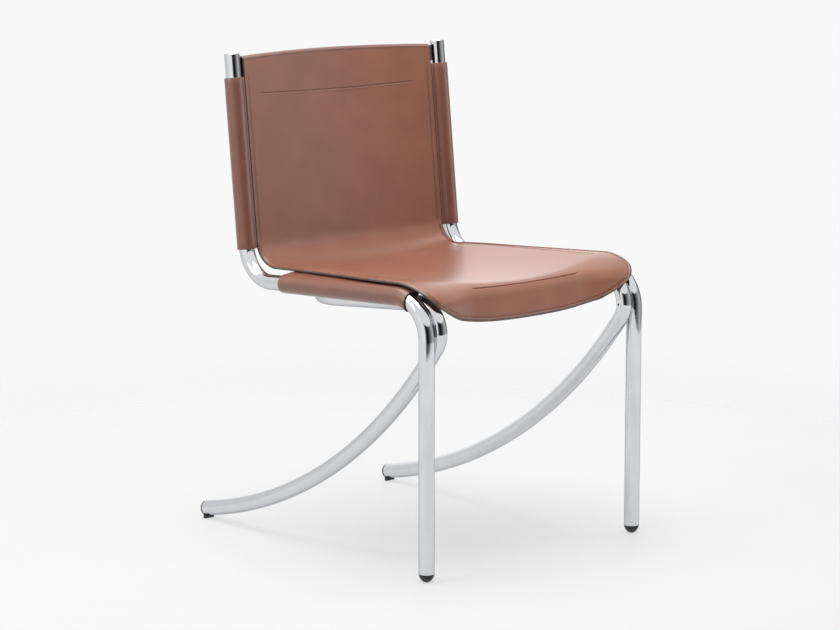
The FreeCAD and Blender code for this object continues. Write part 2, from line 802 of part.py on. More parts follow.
def seat_sleeve(side, sign):
    """Sleeve round a seat rail, with the flange that the sheet is sewn to."""
    up = heading(math.pi / 2)
    radius = size("front_bend_radius")
    bend = bend_ends(point(0, size("rail_height")), up, RAIL, radius)
    rear_y = size("seat_sleeve_rear")
    rear = point(rear_y, size("rail_height") - rear_y * math.tan(FALL))

    def on_bend(degrees):
        return bend[2] + heading(math.pi / 2 - FALL + math.radians(degrees)) * radius

    around = size("seat_sleeve_bend_degrees")
    path = Part.Wire([
        Part.makeLine(rear, bend[1]),
        arc_through(bend[1], on_bend(around / 2), on_bend(around))])

    top = size("seat_rise") - SECOND - THICK - size("seam_gap")
    low = top - 2 * size("sleeve_wall")
    inboard = Vector(-sign, 0, 0) * size("flange_inboard")
    outboard = Vector(sign, 0, 0) * size("flange_outboard")
    leaf = Part.makePolygon([
        rear + RAIL_UP * low + inboard, rear + RAIL_UP * low + outboard,
        rear + RAIL_UP * top + outboard, rear + RAIL_UP * top + inboard,
        rear + RAIL_UP * low + inboard])
    flange = path.makePipeShell([leaf], True, False)
    sleeve = pipe_solid(path, rear, RAIL, SLEEVE_OUT).fuse(flange)
    sleeve = sleeve.cut(pipe_solid(path, rear, RAIL, SLEEVE_IN))

    # The loop's bend presses a shallow hollow into the front of the sleeve
    place = side_place(sign)
    loop = loop_solid(TUBE_R + size("sleeve_gap"))
    loop.Placement = place.inverse().multiply(chair_place())
    return feature("seat_sleeve_" + side, sleeve.cut(loop).Solids[0], place)


doc.recompute()
for side, sign in SIDES.items():
    side_tube(side, sign)
    post_cap(side, sign)
    front_foot(side, sign)
    rear_foot(side, sign)
    front_weld(side, sign)
    back_sleeve(side, sign)
    seat_sleeve(side, sign)
rear_leg_loop()
back_top_bar()
front_rod()
leather_sheet()
second_layers()
top_hem()
doc.recompute()


# Check every object, then write each piece

PIECES = [o for o in doc.Objects
          if o.TypeId == "PartDesign::Body" or o.TypeId == "Part::Feature"]
for item in doc.Objects:
    if "Invalid" in item.State or "Error" in item.State:
        raise RuntimeError("%s has failed: %s" % (item.Label, item.State))
os.makedirs("parts", exist_ok=True)
for piece in PIECES:
    shape = piece.Shape
    if shape.isNull() or not shape.isValid():
        raise RuntimeError("%s has no valid solid" % piece.Label)
    shape.exportStep("parts/%s.step" % piece.Label)
    box = shape.BoundBox
    print("%-20s solids %d volume %9.0f box %.1f %.1f %.1f to %.1f %.1f %.1f" % (
        piece.Label, len(shape.Solids), shape.Volume,
        box.XMin, box.YMin, box.ZMin, box.XMax, box.YMax, box.ZMax))
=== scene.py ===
import math

import bmesh
import bpy
from mathutils import Matrix, Vector
from mathutils.bvhtree import BVHTree
from mathutils.kdtree import KDTree


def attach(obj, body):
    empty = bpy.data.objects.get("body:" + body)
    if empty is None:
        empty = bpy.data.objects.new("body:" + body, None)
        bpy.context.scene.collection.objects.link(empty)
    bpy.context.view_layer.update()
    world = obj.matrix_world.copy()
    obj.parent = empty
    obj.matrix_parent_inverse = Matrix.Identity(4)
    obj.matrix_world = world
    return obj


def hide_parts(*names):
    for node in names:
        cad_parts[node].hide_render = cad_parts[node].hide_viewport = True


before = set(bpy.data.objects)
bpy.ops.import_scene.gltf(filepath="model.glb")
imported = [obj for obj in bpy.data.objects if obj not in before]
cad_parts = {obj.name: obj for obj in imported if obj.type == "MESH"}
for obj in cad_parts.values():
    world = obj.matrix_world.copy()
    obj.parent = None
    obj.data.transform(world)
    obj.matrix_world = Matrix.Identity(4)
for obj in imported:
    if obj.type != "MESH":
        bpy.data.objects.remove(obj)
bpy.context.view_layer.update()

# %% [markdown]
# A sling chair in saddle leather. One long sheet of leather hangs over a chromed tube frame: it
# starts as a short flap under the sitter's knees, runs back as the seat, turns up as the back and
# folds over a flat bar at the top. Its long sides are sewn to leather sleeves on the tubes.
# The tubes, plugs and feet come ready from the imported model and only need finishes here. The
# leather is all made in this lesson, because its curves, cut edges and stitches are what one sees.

MM = 0.001
FRONT_LEGS_Y = -276.3
print("frame nodes:", len(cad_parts))


def mix(a, b, share):
    return a + (b - a) * share


def ease(low, high, value):
    """0 below low, 1 above high, and a soft S between them."""
    share = min(1.0, max(0.0, (value - low) / (high - low)))
    return share * share * (3 - 2 * share)


def even(first, last, steps):
    return [mix(first, last, i / steps) for i in range(steps + 1)]


# %% [markdown]
# The sling bends along its length, so it is drawn as two long lines in the chair's side view: one
# for its edge, which lies on the tubes, and one for its middle, which sags between them. Each
# line has the same stages: flap, nose, seat, rear corner, back, the roll over the top bar and the
# hem behind it. A stage number of 2.5 means halfway along the seat, on either line. All lengths
# here are in millimetres, with y = 0 at the front legs, as one would measure the real chair.

# %% The two side lines of the sling
FLAP, NOSE, SEAT, CORNER, BACK, ROLL, HEM, END = range(8)
LEATHER = 2.3
LAYER_STEP = 2.4
RAIL_FALL = math.radians(2.36)
RAKE = math.radians(5.97)
RAIL_HEIGHT = 438.0
CORNER_Y = 421.0
SEAT_RISE = 22.6
ROLL_RADIUS = 5.0
ROLL_CREASE = 1.35
ROLL_SQUARE = 0.8
SEWN_DEPTH = 2 * LEATHER + 0.2
PANEL_TOP = 782.0
HEM_LENGTH = 57.0
HEM_TURNS_IN = (0.5, 0.95)
EDGE = {"nose_y": -8.0, "nose_long": 70.0, "nose_drop": 36.0, "sag": 0.0,
        "bend": 41.0, "back": -3.6, "pocket": 16.6}
MIDDLE = {"nose_y": 8.0, "nose_long": 20.0, "nose_drop": 22.0, "sag": 18.0,
          "bend": 59.0, "back": 18.5, "pocket": 11.5}
CORNER_POINT = Vector((CORNER_Y, RAIL_HEIGHT - CORNER_Y * math.tan(RAIL_FALL)))


def heading(angle):
    return Vector((math.cos(angle), math.sin(angle)))


RAIL = heading(-RAIL_FALL)
RAIL_UP = heading(math.pi / 2 - RAIL_FALL)
POST = heading(math.pi / 2 - RAKE)
POST_BACK = heading(-RAKE)
TURN = math.pi / 2 - RAKE + RAIL_FALL


def anchors(line):
    """The places where one side line passes from stage to stage."""
    seat = CORNER_POINT + RAIL_UP * (SEAT_RISE - line["sag"])
    back = CORNER_POINT + POST_BACK * line["back"]
    gap = back - seat
    meet = seat + RAIL * ((gap.x * POST.y - gap.y * POST.x) / (RAIL.x * POST.y - RAIL.y * POST.x))
    reach = line["bend"] * math.tan(TURN / 2)
    nose_end_y = line["nose_y"] + line["nose_long"]
    nose_end = meet + RAIL * ((nose_end_y - meet.x) / RAIL.x)
    corner = meet - RAIL * reach
    centre = corner + RAIL_UP * line["bend"]
    low = meet + POST * reach
    high = back + POST * ((PANEL_TOP - ROLL_RADIUS - back.y) / POST.y)
    return nose_end, corner, centre, low, high


EDGE["at"] = anchors(EDGE)
MIDDLE["at"] = anchors(MIDDLE)


def side_line(line, stage):
    """Point of a side line as (y, z) at a stage past the flap."""
    nose_end, corner, centre, low, high = line["at"]
    if stage < SEAT:
        angle = (stage - NOSE) * math.pi / 2
        y = line["nose_y"] + line["nose_long"] * (1 - math.cos(angle))
        return Vector((y, nose_end.y - line["nose_drop"] * (1 - math.sin(angle))))
    if stage < CORNER:
        return nose_end.lerp(corner, stage - SEAT)
    if stage < BACK:
        return centre + heading(-math.pi / 2 - RAIL_FALL + TURN * (stage - CORNER)) * line["bend"]
    if stage < ROLL:
        return low.lerp(high, stage - BACK)
    if stage < HEM:
        angle = math.pi * (1 - (stage - ROLL))
        crease = ROLL_SQUARE if math.cos(angle) > 0 else ROLL_CREASE
        back = 1 + math.copysign(abs(math.cos(angle)) ** crease, math.cos(angle))
        return high + POST_BACK * back * line["pocket"] / 2 + POST * math.sin(angle) ** crease * ROLL_RADIUS
    down = stage - HEM
    depth = mix(line["pocket"], SEWN_DEPTH, ease(*HEM_TURNS_IN, down))
    return high + POST_BACK * depth - POST * HEM_LENGTH * down


for name, line in (("edge", EDGE), ("middle", MIDDLE)):
    print(name, "of the seat from z %.0f to z %.0f mm" % (line["at"][0].y, line["at"][1].y))

# %% [markdown]
# Across its width the sheet is widest over the front of the tubes and narrows to the rear. At the
# flap its lower corners are cut in one big curve. The sheet leaves the tubes softly at the seat,
# and sharply at the back, where the sleeves pull it. Two tucked seams, one under the nose and one
# below the top bar, pinch the leather into short grooves.

# %% The sling's surface, from a share across and a stage along
WIDE = 235.0
NARROW = 206.5
FLAP_EDGE = 210.0
FLAP_TURN = 154.0
FLAP_LOW = 384.0
SAG_REACH = 209.0
FLAP_FLAT = (118.0, 206.0)
FLAP_CURVE = (5.5, 6.5)
FLAP_SPACING = (17.0, 4.9)
CROWN = 3.3
SEAM_DROP = 66.0
BACK_LONG = (MIDDLE["at"][4] - MIDDLE["at"][3]).length
SEAM_FRONT = {"stage": 1.63, "half": 114.0, "deep": 2.2, "wide": 0.7,
              "end": 1.5, "pitch": 34.0, "dip": 0.0, "lip": 0.15}
SEAM_BACK = {"stage": ROLL - (SEAM_DROP - ROLL_RADIUS) / BACK_LONG, "half": 166.0, "deep": 0.7, "wide": 0.8,
             "end": 1.5, "pitch": BACK_LONG, "dip": 3.5, "lip": 0.3}
SEAM_LIP = {"below": 2.4, "wide": 1.6}
SLEEVE_LOW_Z = 470.0
SLEEVE_HIGH_Z = 744.5
SEAT_WIDTHS = (235.0, 231.5, 226.6, 220.6, 216.8, 213.2, NARROW)


def half_width(stage):
    """Half of the sheet's width at a stage, in mm."""
    if stage < NOSE:
        return mix(FLAP_TURN, FLAP_EDGE, stage)
    if stage < SEAT:
        return WIDE - (WIDE - FLAP_EDGE) * (1 - math.sin((stage - NOSE) * math.pi / 2)) ** 1.5
    if stage < CORNER:
        spot = (stage - SEAT) * (len(SEAT_WIDTHS) - 1)
        step = min(int(spot), len(SEAT_WIDTHS) - 2)
        return mix(SEAT_WIDTHS[step], SEAT_WIDTHS[step + 1], spot - step)
    if stage < ROLL:
        return NARROW
    return NARROW - 3.0 * max(0.0, stage - HEM)


def seam_groove(seam, x, stage):
    """How far a tucked seam draws the leather in, and how its lower lip stands up."""
    across = 1 - ease(seam["half"] - seam["end"], seam["half"] + seam["end"], abs(x))
    dip = seam["dip"] * max(0.0, 1 - (x / seam["half"]) ** 2)
    along = (stage - seam["stage"]) * seam["pitch"] + dip
    tuck = seam["deep"] * math.exp(-(along / seam["wide"]) ** 2)
    lip = seam["lip"] * math.exp(-((along + SEAM_LIP["below"]) / SEAM_LIP["wide"]) ** 2)
    return across * (tuck - lip)


def sling_side(x, stage):
    """Side-view point of the sheet at x: the edge line blended into the middle line."""
    out = abs(x)
    flap_share = 1 - ease(*FLAP_FLAT, out)
    seat_share = max(0.0, 1 - (out / SAG_REACH) ** 2) ** 1.2
    back_share = max(0.0, 1 - (out / (NARROW + 1)) ** 2)
    share = mix(flap_share, seat_share, ease(NOSE + 0.2, SEAT + 0.1, stage))
    share = mix(share, back_share, ease(SEAT + 0.7, CORNER + 0.3, stage))
    if stage >= NOSE:
        return side_line(EDGE, stage).lerp(side_line(MIDDLE, stage), share)
    top = side_line(EDGE, NOSE).lerp(side_line(MIDDLE, NOSE), share)
    turn = min(1.0, out / half_width(stage))
    low = FLAP_LOW + FLAP_CURVE[0] * turn ** 2 + FLAP_CURVE[1] * turn ** 4
    up = (FLAP_SPACING[0] * stage + FLAP_SPACING[1] * stage ** 2) / sum(FLAP_SPACING)
    return Vector((top.x, mix(low, top.y, up)))


def sling_plain(share, stage):
    """Point of the sheet's face in mm, before seams and sleeves draw it in."""
    x = share * half_width(stage)
    side = sling_side(x, stage)
    if stage > BACK:
        crown = ease(SEAM_BACK["stage"], ROLL, min(stage, ROLL)) * CROWN * share ** 2
        side = side - POST * crown
    return Vector((x, side.x + FRONT_LEGS_Y, side.y))


def sling_normal(share, stage):
    """Direction out of the face, towards the sitter."""
    a = min(max(stage, 0.004), END - 0.004)
    b = min(max(share, -0.996), 0.996)
    along = sling_plain(b, a + 0.004) - sling_plain(b, a - 0.004)
    across = sling_plain(b + 0.004, a) - sling_plain(b - 0.004, a)
    return across.cross(along).normalized()


def sling_point(share, stage, depth=0.0):
    """Point of the sheet in metres, at a depth below its face."""
    spot = sling_plain(share, stage)
    normal = sling_normal(share, stage)
    draw = depth
    if depth < LEATHER:
        draw += seam_groove(SEAM_FRONT, spot.x, stage) + seam_groove(SEAM_BACK, spot.x, stage)
    return (spot - normal * draw) * MM


print("seat from %.0f to %.0f mm wide" % (2 * half_width(SEAT), 2 * half_width(CORNER)))

# %% [markdown]
# The sheet is made as it is made in the workshop: a flat, even piece is bent into place. In
# Blender that is a grid whose vertices are moved one by one, so the faces follow the leather's
# length and width. The grid is finer at the edges, the bends and the seams. Solidify gives it the
# leather's thickness and its own material on the cut edge, and a small Bevel rounds that edge.

# %% A grid bent into place
COLLECTION = bpy.context.scene.collection


def bent_grid(columns, rows, place):
    """Grid with a vertex for each column and row, moved to place(column, row)."""
    mesh = bmesh.new()
    last_column, last_row = len(columns) - 1, len(rows) - 1
    bmesh.ops.create_grid(mesh, x_segments=last_column, y_segments=last_row, size=1.0)
    for vertex in mesh.verts:
        i = round((vertex.co.x + 1) / 2 * last_column)
        j = round((vertex.co.y + 1) / 2 * last_row)
        vertex.co = place(columns[i], rows[j])
    return mesh


def piece_from(mesh, name, materials):
    """Turn a bmesh into a piece that rides on the chair."""
    data = bpy.data.meshes.new(name)
    for face in mesh.faces:
        face.smooth = True
    mesh.to_mesh(data)
    mesh.free()
    piece = bpy.data.objects.new(name, data)
    COLLECTION.objects.link(piece)
    for material in materials:
        data.materials.append(material)
    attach(piece, "root")
    return piece


def give_thickness(piece, thickness, rounding, segments=2):
    """Cut leather: a wall with its own edge material and softly rounded corners."""
    wall = piece.modifiers.new("wall", "SOLIDIFY")
    wall.thickness = thickness
    wall.offset = -1.0
    wall.material_offset_rim = 1
    wall.use_even_offset = True
    edge = piece.modifiers.new("rounded edge", "BEVEL")
    edge.width = rounding
    edge.segments = segments
    edge.limit_method = "ANGLE"
    edge.angle_limit = math.radians(50)
    edge.harden_normals = False
    return piece


def spread(first, last, step, fine=()):
    """Even steps from first to last, and finer ones round each (centre, reach, step)."""
    rows = even(first, last, max(1, round((last - first) / step)))
    for centre, reach, small in fine:
        rows = [r for r in rows if abs(r - centre) > reach + small / 2 or r in (first, last)]
        rows += [r for r in even(centre - reach, centre + reach, round(2 * reach / small))
                 if first < r < last]
    return sorted(rows)


EDGE_STEPS = (0.0, 0.9, 1.8, 2.6, 3.4, 4.2, 5.0, 5.8, 6.5, 7.3, 8.2, 9.05, 9.9, 13.0, 18.0)
half = [1 - mm / 220.0 for mm in EDGE_STEPS]
inner = even(-half[-1], half[-1], 72)
COLUMNS = [-h for h in half[:-1]] + inner + half[-2::-1]
ROWS = (
    even(FLAP, FLAP + 0.36, 18) + spread(FLAP + 0.42, NOSE, 0.06)
    + spread(NOSE, SEAT, 0.05, [(SEAM_FRONT["stage"], 0.12, 0.012)])[1:]
    + spread(SEAT, CORNER, 0.017)[1:]
    + spread(CORNER, BACK, 0.05)[1:]
    + spread(BACK, ROLL, 0.02, [(SEAM_BACK["stage"] - 0.006, 0.028, 0.0019),
                                (ROLL - 0.004, 0.012, 0.0024)])[1:]
    + spread(ROLL, HEM, 0.0625)[1:]
    + spread(HEM, END - 0.015, 0.05)[1:] + [END]
)
print("sheet grid:", len(COLUMNS), "by", len(ROWS))

# %% [markdown]
# Every finish is a node material. Effects that several finishes share are node groups, made once
# and given their own values in each material: a leather grain with a soft mottle, and the faint
# handling marks that keep chrome and plastic from looking like glass.

# %% Helpers for node materials


def new_group(name, inputs, outputs):
    group = bpy.data.node_groups.new(name, "ShaderNodeTree")
    for label, kind, value in inputs:
        socket = group.interface.new_socket(label, in_out="INPUT", socket_type=kind)
        socket.default_value = value
    for label, kind in outputs:
        group.interface.new_socket(label, in_out="OUTPUT", socket_type=kind)
    start = group.nodes.new("NodeGroupInput")
    end = group.nodes.new("NodeGroupOutput")
    return group, start, end


def add(tree, kind, values=(), **settings):
    """Add a node, set its fields, then its inputs by name."""
    node = tree.nodes.new(kind)
    for field, value in settings.items():
        setattr(node, field, value)
    for label, value in dict(values).items():
        node.inputs[label].default_value = value
    return node


def join(tree, source, target):
    tree.links.new(source, target)


def ramp(tree, source, stops):
    """Colour ramp over (position, grey or colour) stops."""
    node = tree.nodes.new("ShaderNodeValToRGB")
    join(tree, source, node.inputs["Fac"])
    points = node.color_ramp.elements
    while len(points) < len(stops):
        points.new(0.5)
    for point, (position, colour) in zip(points, stops):
        point.position = position
        point.color = (*colour, 1.0) if hasattr(colour, "__len__") else (colour, colour, colour, 1.0)
    return node


def new_material(name, values):
    """A material with a Principled shader, ready for its textures."""
    material = bpy.data.materials.new(name)
    material.use_nodes = True
    tree = material.node_tree
    shader = tree.nodes["Principled BSDF"]
    for label, value in values.items():
        shader.inputs[label].default_value = value
    place = add(tree, "ShaderNodeTexCoord")
    return material, tree, shader, place.outputs["Object"]


# %% Node groups: leather grain and handling marks


def leather_grain():
    """Pebbled grain of smooth full-grain leather, with its mottled colour."""
    group, start, end = new_group(
        "leather_grain",
        [("Place", "NodeSocketVector", (0, 0, 0)), ("Grain", "NodeSocketFloat", 900.0),
         ("Mottle", "NodeSocketFloat", 16.0), ("Dark", "NodeSocketColor", (0.1, 0.04, 0.02, 1)),
         ("Light", "NodeSocketColor", (0.3, 0.14, 0.08, 1)), ("Rough", "NodeSocketFloat", 0.4)],
        [("Colour", "NodeSocketColor"), ("Height", "NodeSocketFloat"), ("Roughness", "NodeSocketFloat")])
    cells = add(group, "ShaderNodeTexVoronoi", feature="SMOOTH_F1", values={"Smoothness": 0.7})
    join(group, start.outputs["Place"], cells.inputs["Vector"])
    join(group, start.outputs["Grain"], cells.inputs["Scale"])
    pores = add(group, "ShaderNodeTexNoise", {"Scale": 420.0, "Detail": 3.0, "Roughness": 0.6})
    join(group, start.outputs["Place"], pores.inputs["Vector"])
    cloud = add(group, "ShaderNodeTexNoise", {"Detail": 4.0, "Roughness": 0.55, "Distortion": 0.4})
    join(group, start.outputs["Place"], cloud.inputs["Vector"])
    join(group, start.outputs["Mottle"], cloud.inputs["Scale"])
    soft = ramp(group, cloud.outputs["Fac"], [(0.25, 0.0), (0.78, 1.0)])
    speck = ramp(group, pores.outputs["Fac"], [(0.30, 0.0), (0.52, 1.0)])
    both = add(group, "ShaderNodeMath", operation="MULTIPLY_ADD")
    join(group, speck.outputs["Color"], both.inputs[0])
    both.inputs[1].default_value = 0.35
    join(group, soft.outputs["Color"], both.inputs[2])
    tone = add(group, "ShaderNodeMath", operation="MULTIPLY")
    join(group, both.outputs[0], tone.inputs[0])
    tone.inputs[1].default_value = 0.74
    colour = add(group, "ShaderNodeMix", data_type="RGBA")
    join(group, tone.outputs[0], colour.inputs["Factor"])
    join(group, start.outputs["Dark"], colour.inputs["A"])
    join(group, start.outputs["Light"], colour.inputs["B"])
    join(group, colour.outputs["Result"], end.inputs["Colour"])
    height = add(group, "ShaderNodeMath", operation="MULTIPLY_ADD")
    join(group, cells.outputs["Distance"], height.inputs[0])
    height.inputs[1].default_value = -0.9
    join(group, pores.outputs["Fac"], height.inputs[2])
    join(group, height.outputs[0], end.inputs["Height"])
    gloss = add(group, "ShaderNodeMath", operation="MULTIPLY_ADD")
    join(group, soft.outputs["Color"], gloss.inputs[0])
    gloss.inputs[1].default_value = 0.07
    join(group, start.outputs["Rough"], gloss.inputs[2])
    join(group, gloss.outputs[0], end.inputs["Roughness"])
    return group


def handling_marks():
    """Fine scuffs and a breath of dust, as a roughness and a height."""
    group, start, end = new_group(
        "handling_marks",
        [("Place", "NodeSocketVector", (0, 0, 0)), ("Rough", "NodeSocketFloat", 0.05),
         ("Marks", "NodeSocketFloat", 0.04)],
        [("Roughness", "NodeSocketFloat"), ("Height", "NodeSocketFloat"), ("Mask", "NodeSocketFloat")])
    cloud = add(group, "ShaderNodeTexNoise", {"Scale": 22.0, "Detail": 5.0, "Roughness": 0.6})
    join(group, start.outputs["Place"], cloud.inputs["Vector"])
    fine = add(group, "ShaderNodeTexNoise", {"Scale": 260.0, "Detail": 2.0, "Roughness": 0.5})
    join(group, start.outputs["Place"], fine.inputs["Vector"])
    mask = ramp(group, cloud.outputs["Fac"], [(0.42, 0.0), (0.75, 1.0)])
    rough = add(group, "ShaderNodeMath", operation="MULTIPLY_ADD")
    join(group, mask.outputs["Color"], rough.inputs[0])
    join(group, start.outputs["Marks"], rough.inputs[1])
    join(group, start.outputs["Rough"], rough.inputs[2])
    join(group, rough.outputs[0], end.inputs["Roughness"])
    join(group, fine.outputs["Fac"], end.inputs["Height"])
    join(group, mask.outputs["Color"], end.inputs["Mask"])
    return group


LEATHER_GRAIN = leather_grain()
HANDLING_MARKS = handling_marks()
print("node groups:", [g.name for g in bpy.data.node_groups])

# %% [markdown]
# Leather reflects softly: its roughness is middling, and its gloss grows at a low angle, which
# gives the seat its pale sheen. The colour is a warm brown that is a little lighter in clouds. The
# cut edges are painted in a greyer brown and polished, the thread is waxed and slightly lighter.

# %% Leather, edge paint and thread


def leather(name, dark, light, rough, grain, bump):
    material, tree, shader, place = new_material(
        name, {"IOR": 1.5, "Specular IOR Level": 0.4,
               "Coat Weight": 1.0, "Coat Roughness": 0.34, "Coat IOR": 1.4})
    grain_node = add(tree, "ShaderNodeGroup", node_tree=LEATHER_GRAIN)
    join(tree, place, grain_node.inputs["Place"])
    for label, value in (("Grain", grain), ("Dark", (*dark, 1)), ("Light", (*light, 1)), ("Rough", rough)):
        grain_node.inputs[label].default_value = value
    relief = add(tree, "ShaderNodeBump", {"Strength": bump, "Distance": 0.0002})
    join(tree, grain_node.outputs["Height"], relief.inputs["Height"])
    # Painted shade: a mesh attribute mixes the colour towards a darker brown in the sewn grooves and on the
    # up-facing top of the fold.
    groove_and_fold_shade = add(tree, "ShaderNodeAttribute", attribute_name="groove_and_fold_shade")
    colour = add(tree, "ShaderNodeMix", data_type="RGBA")
    colour.inputs["B"].default_value = (0.42 * dark[0], 0.42 * dark[1], 0.5 * dark[2], 1.0)
    join(tree, groove_and_fold_shade.outputs["Fac"], colour.inputs["Factor"])
    join(tree, grain_node.outputs["Colour"], colour.inputs["A"])
    join(tree, colour.outputs["Result"], shader.inputs["Base Color"])
    join(tree, grain_node.outputs["Roughness"], shader.inputs["Roughness"])
    join(tree, relief.outputs["Normal"], shader.inputs["Normal"])
    return material


SADDLE = leather("saddle_leather", (0.228, 0.075, 0.037), (0.305, 0.106, 0.054), 0.42, 950.0, 0.30)
LINING = leather("leather_lining", (0.150, 0.056, 0.034), (0.210, 0.085, 0.052), 0.50, 700.0, 0.45)
# The sleeves get the saddle leather painted darker: painted shade standing in for the shade on the round
# tubes.
SLEEVE_PAINTED_DARKER = leather("sleeve_leather_painted_darker", (0.180, 0.062, 0.034), (0.240, 0.084, 0.047), 0.40, 950.0, 0.30)


def edge_paint():
    """Several coats of edge paint, burnished: smooth, with faint lengthwise unevenness."""
    material, tree, shader, place = new_material("painted_edge", {"IOR": 1.45})
    cloud = add(tree, "ShaderNodeTexNoise", {"Scale": 90.0, "Detail": 3.0})
    join(tree, place, cloud.inputs["Vector"])
    tone = ramp(tree, cloud.outputs["Fac"], [(0.3, (0.085, 0.060, 0.045)), (0.7, (0.130, 0.095, 0.072))])
    join(tree, tone.outputs["Color"], shader.inputs["Base Color"])
    gloss = ramp(tree, cloud.outputs["Fac"], [(0.2, 0.38), (0.8, 0.52)])
    join(tree, gloss.outputs["Color"], shader.inputs["Roughness"])
    relief = add(tree, "ShaderNodeBump", {"Strength": 0.25, "Distance": 0.0003})
    join(tree, cloud.outputs["Fac"], relief.inputs["Height"])
    join(tree, relief.outputs["Normal"], shader.inputs["Normal"])
    return material


def waxed_thread():
    """Twisted thread: fine slanting bands in its relief, a touch of wear in its colour."""
    material, tree, shader, place = new_material("waxed_thread", {"Roughness": 0.55, "IOR": 1.45})
    bands = add(tree, "ShaderNodeTexWave", {"Scale": 520.0, "Distortion": 1.5}, bands_direction="DIAGONAL")
    join(tree, place, bands.inputs["Vector"])
    tone = ramp(tree, bands.outputs["Fac"], [(0.1, (0.200, 0.090, 0.058)), (0.9, (0.360, 0.185, 0.125))])
    join(tree, tone.outputs["Color"], shader.inputs["Base Color"])
    relief = add(tree, "ShaderNodeBump", {"Strength": 0.6, "Distance": 0.0002})
    join(tree, bands.outputs["Fac"], relief.inputs["Height"])
    join(tree, relief.outputs["Normal"], shader.inputs["Normal"])
    return material


EDGE_PAINT = edge_paint()
THREAD = waxed_thread()

# %% [markdown]
# The frame is bright chrome plate. Chrome has next to no colour of its own, so its look is all
# reflection, broken only by faint marks. The feet are moulded black plastic, satin and a bit dusty.

# %% Chrome and plastic, and the CAD pieces that wear them


def marked(name, values, colours, rough, marks, bump):
    """A hard finish with handling marks in its colour, roughness and relief."""
    material, tree, shader, place = new_material(name, values)
    wear = add(tree, "ShaderNodeGroup", {"Rough": rough, "Marks": marks}, node_tree=HANDLING_MARKS)
    join(tree, place, wear.inputs["Place"])
    tone = ramp(tree, wear.outputs["Mask"], [(0.0, colours[0]), (1.0, colours[1])])
    relief = add(tree, "ShaderNodeBump", {"Strength": bump, "Distance": 0.0001})
    join(tree, wear.outputs["Height"], relief.inputs["Height"])
    join(tree, tone.outputs["Color"], shader.inputs["Base Color"])
    join(tree, wear.outputs["Roughness"], shader.inputs["Roughness"])
    join(tree, relief.outputs["Normal"], shader.inputs["Normal"])
    return material


CHROME = marked("chrome", {"Metallic": 1.0, "Specular Tint": (0.55, 0.56, 0.58, 1.0)},
                ((0.665, 0.675, 0.69), (0.62, 0.63, 0.645)), 0.04, 0.05, 0.05)
PLASTIC = marked("black_plastic", {"IOR": 1.46}, ((0.012, 0.012, 0.013), (0.03, 0.03, 0.031)), 0.34, 0.2, 0.3)
SIDES = {"left": -1, "right": 1}
CHROME_NODES = ["rear_leg_loop", "back_top_bar", "front_rod"] + [
    "%s_%s" % (kind, side) for kind in ("side_tube", "post_cap", "front_weld") for side in SIDES]
PLASTIC_NODES = ["%s_foot_%s" % (end, side) for end in ("front", "rear") for side in SIDES]
for names, finish in ((CHROME_NODES, CHROME), (PLASTIC_NODES, PLASTIC)):
    for name in names:
        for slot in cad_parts[name].material_slots:
            slot.material = finish
print("CAD pieces refinished:", len(CHROME_NODES) + len(PLASTIC_NODES))

# %% [markdown]
# Sewing shows as much by the line it presses into leather as by its thread. So the rows are laid out first,
# as lines of places on the bare surface: round the edge, along the sleeves and beside both seams. The sheet
# then gets a shallow groove under them, with painted shade in it, and later the stitches go into it. The
# front seam's line and the up-facing top of the fold over the bar get painted shade too.

# %% Where the rows of sewing run
EDGE_ROW = 7.3 * MM
BACK_ROW_X = 198.0
SEAT_ROW_X = 204.0
TOP_ROW_X = 201.0


def edge_row():
    """The sheet's own edge round the flap, nose and seat, and a line a fixed way in from it."""
    side = [(-1.0, s) for s in even(BACK - 0.15, FLAP, 260)]
    front = [(t, FLAP) for t in even(-1.0, 1.0, 80)][1:-1]
    border = side + front + [(-t, s) for t, s in reversed(side)]
    spots = [sling_point(t, s) for t, s in border]
    line = []
    for i in range(2, len(border) - 2):
        along = (spots[i + 2] - spots[i - 2]).normalized()
        inward = sling_normal(*border[i]).cross(along).normalized()
        line.append(spots[i] + inward * EDGE_ROW)
    return spots, line


def seam_row(seam):
    """A line across the sheet in a seam's own groove."""
    line = []
    for x in even(-seam["half"], seam["half"], 80):
        stage = seam["stage"] - seam["dip"] * (1 - (x / seam["half"]) ** 2) / seam["pitch"]
        line.append(sling_point(x / half_width(stage), stage))
    return line


def down_row(x, first, last):
    return [sling_point(x / half_width(s), s) for s in even(first, last, 90)]


def stage_at(line, index, first, last, wanted):
    """Stage between two whole ones where the y (index 0) or z (index 1) has a wanted value."""
    a, b = side_line(line, first)[index], side_line(line, last - 1e-6)[index]
    return mix(first, last, (wanted - a) / (b - a))


SEAT_ROW = [stage_at(EDGE, 0, SEAT, CORNER, y) for y in (64.0, 332.0)]
BACK_ROW = [stage_at(EDGE, 1, BACK, ROLL, z) for z in (SLEEVE_LOW_Z + 3, SLEEVE_HIGH_Z - 3)]
TOP_ROW = [sling_point(x / NARROW, ROLL - 1.0 / BACK_LONG) for x in even(-TOP_ROW_X, TOP_ROW_X, 90)]
CUT_EDGE, EDGE_LINE = edge_row()
ROW_LINES = [EDGE_LINE, seam_row(SEAM_BACK), TOP_ROW]
ROW_LINES += [down_row(side * BACK_ROW_X, *BACK_ROW) for side in (-1, 1)]
SEAT_LINES = [down_row(side * SEAT_ROW_X, *SEAT_ROW) for side in (-1, 1)]
print("rows of sewing:", len(ROW_LINES) + len(SEAT_LINES))

# %% [markdown]
# The sling itself is two layers of leather, glued back to back and sewn round their edge. The top
# layer runs the whole way. The under layer is parted at the front seam, into a hem behind the flap
# and a lining under the seat and back, and it ends at the back seam, where the pocket of the top
# bar starts. Each layer is its own bent grid, at its own depth. The faces by the cut are painted,
# because edge paint laps over the corner, and on the sheet that band is widest under the flap.

